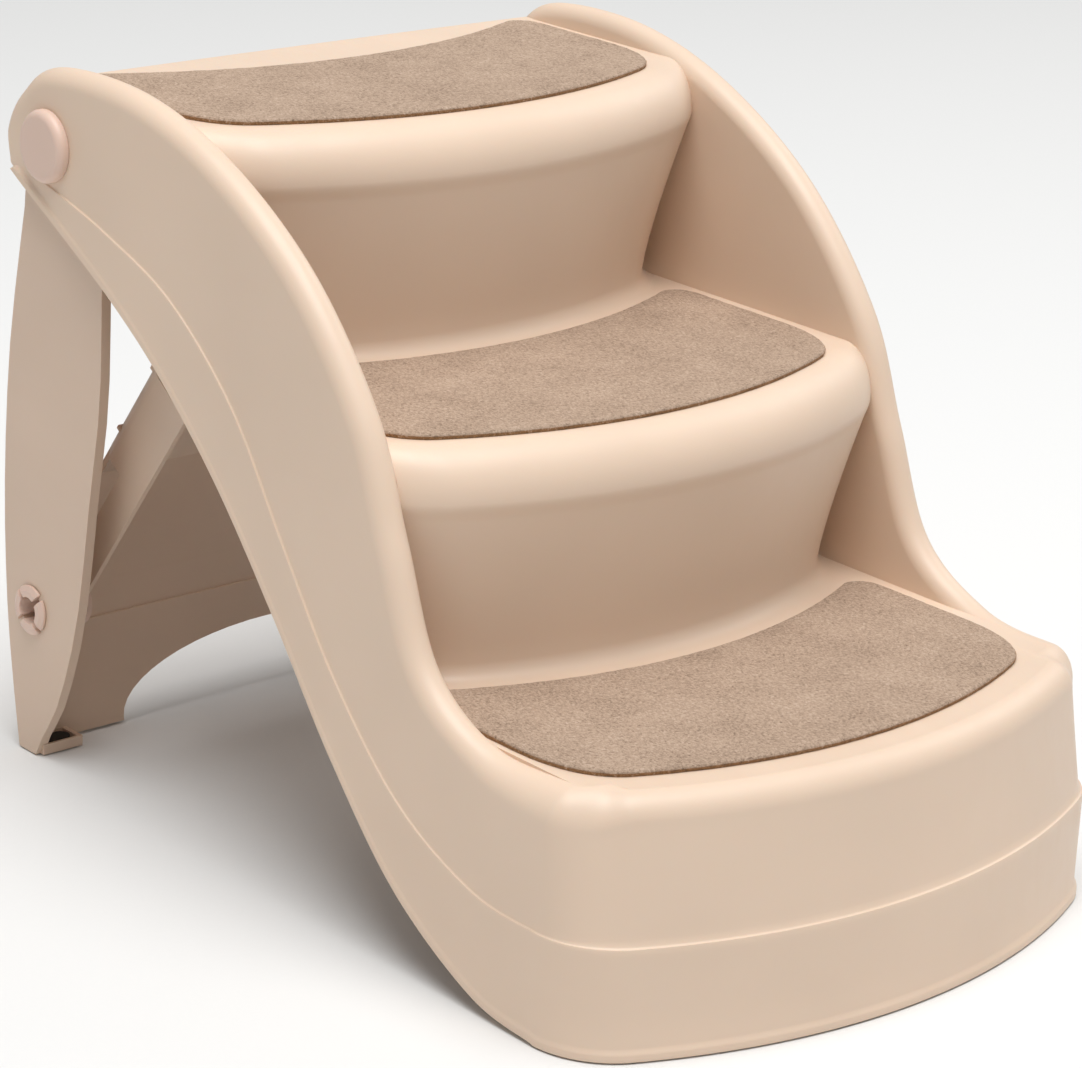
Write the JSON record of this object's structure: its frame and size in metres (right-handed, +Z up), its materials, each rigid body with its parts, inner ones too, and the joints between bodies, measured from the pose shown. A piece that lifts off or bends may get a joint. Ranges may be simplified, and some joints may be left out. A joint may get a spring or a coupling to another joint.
{
  "type": "folding pet stairs",
  "caption": "Moulded plastic pet stairs with curved side walls, felt mats on the treads, and a rear leg with a locking brace that folds in underneath.",
  "frame": {"origin": "on the floor, at the middle of the width and of the depth, with the leg open", "axes": "+X along the width, +Y towards the rear leg, +Z up; the lowest step faces -Y"},
  "size_m": [0.375, 0.536, 0.3934],
  "materials": {
    "cream_plastic": "satin moulded polypropylene",
    "knob_plastic": "satin moulded polypropylene",
    "felt": "needle-punched felt",
    "tape": "woven fastening tape",
    "rubber": "matt",
    "steel": "zinc plated"
  },
  "bodies": {
    "stairs": {"stair_body": "cream_plastic", "tread_mat_1": "felt", "tread_mat_2": "felt", "tread_mat_3": "felt", "mat_tape_1": "tape", "mat_tape_2": "tape", "mat_tape_3": "tape", "pivot_knob_left": "knob_plastic", "pivot_knob_right": "knob_plastic", "pivot_washer_left": "steel", "pivot_washer_right": "steel", "pivot_screw_left": "steel", "pivot_screw_right": "steel", "front_foot_left": "rubber", "front_foot_right": "rubber"},
    "leg": {"rear_leg": "cream_plastic", "leg_foot_left": "rubber", "leg_foot_right": "rubber"},
    "brace": {"locking_brace": "cream_plastic", "brace_pin_left": "cream_plastic", "brace_pin_right": "cream_plastic"}
  },
  "joints": [
    {"name": "leg_fold", "type": "hinge", "parent": "stairs", "child": "leg", "pos_m": [0, 0.21854, 0.3505], "axis": [-1, 0, 0], "range_deg": [0, 47]},
    {"name": "brace_fold", "type": "hinge", "parent": "leg", "child": "brace", "pos_m": [0, 0.24104, 0.085], "axis": [-1, 0, 0], "range_deg": [0, 31.96]}
  ],
  "couplings": [
    {"joint": "brace_fold", "follows": "leg_fold", "ratio": 0.68}
  ]
}
